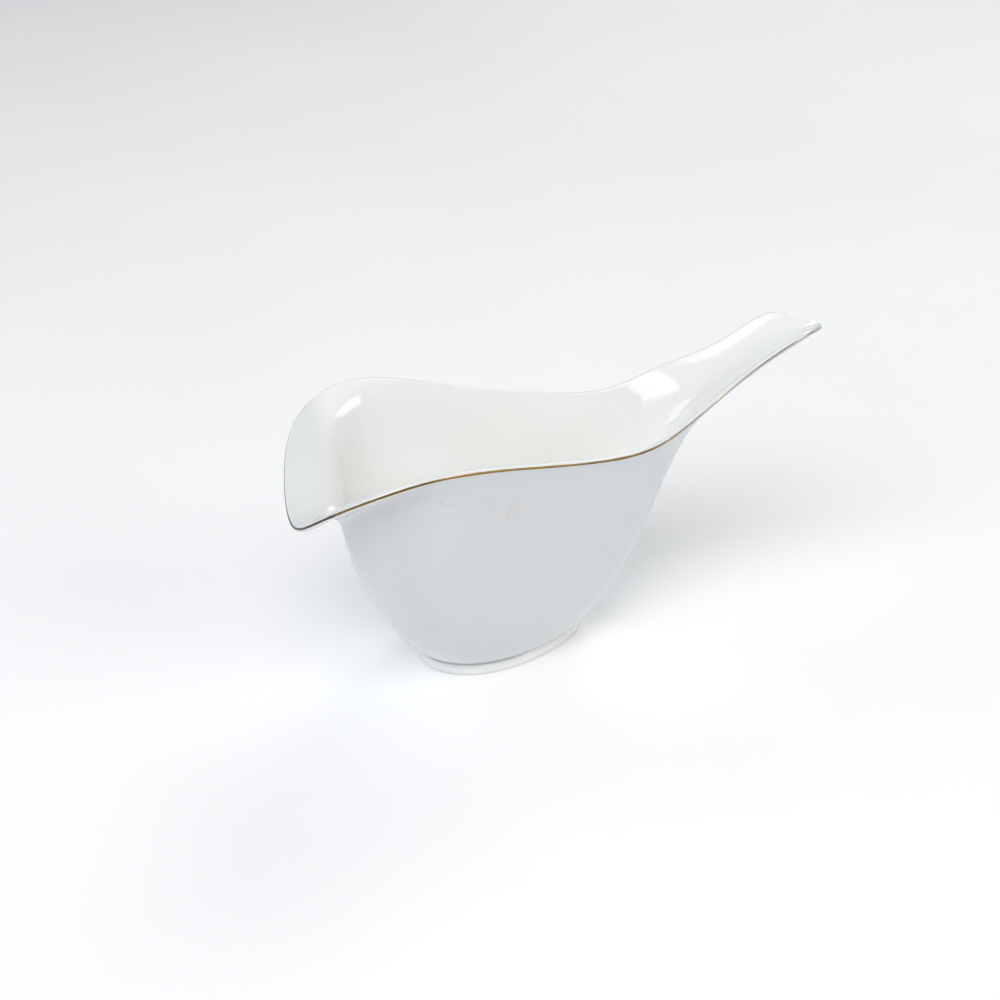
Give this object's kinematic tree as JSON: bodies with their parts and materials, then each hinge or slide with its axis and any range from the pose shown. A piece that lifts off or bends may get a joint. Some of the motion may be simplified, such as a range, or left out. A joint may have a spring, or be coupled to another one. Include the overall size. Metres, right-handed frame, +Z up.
{
  "type": "gravy boat",
  "caption": "Porcelain gravy boat with a flared pouring lip, an open trough handle that runs on from the rim, an egg-shaped foot ring and a gilded edge.",
  "frame": {"origin": "on the table under the middle of the object's overall box", "axes": "+X from the spout towards the handle, +Y across the bowl, +Z up; XZ is the plane of symmetry"},
  "size_m": [0.2195, 0.0912, 0.115],
  "materials": {
    "porcelain": "gloss",
    "gilding": "satin"
  },
  "bodies": {
    "root": {"bowl": "porcelain", "handle": "porcelain", "foot_ring": "porcelain", "rim_gilding": "gilding"}
  },
  "joints": []
}
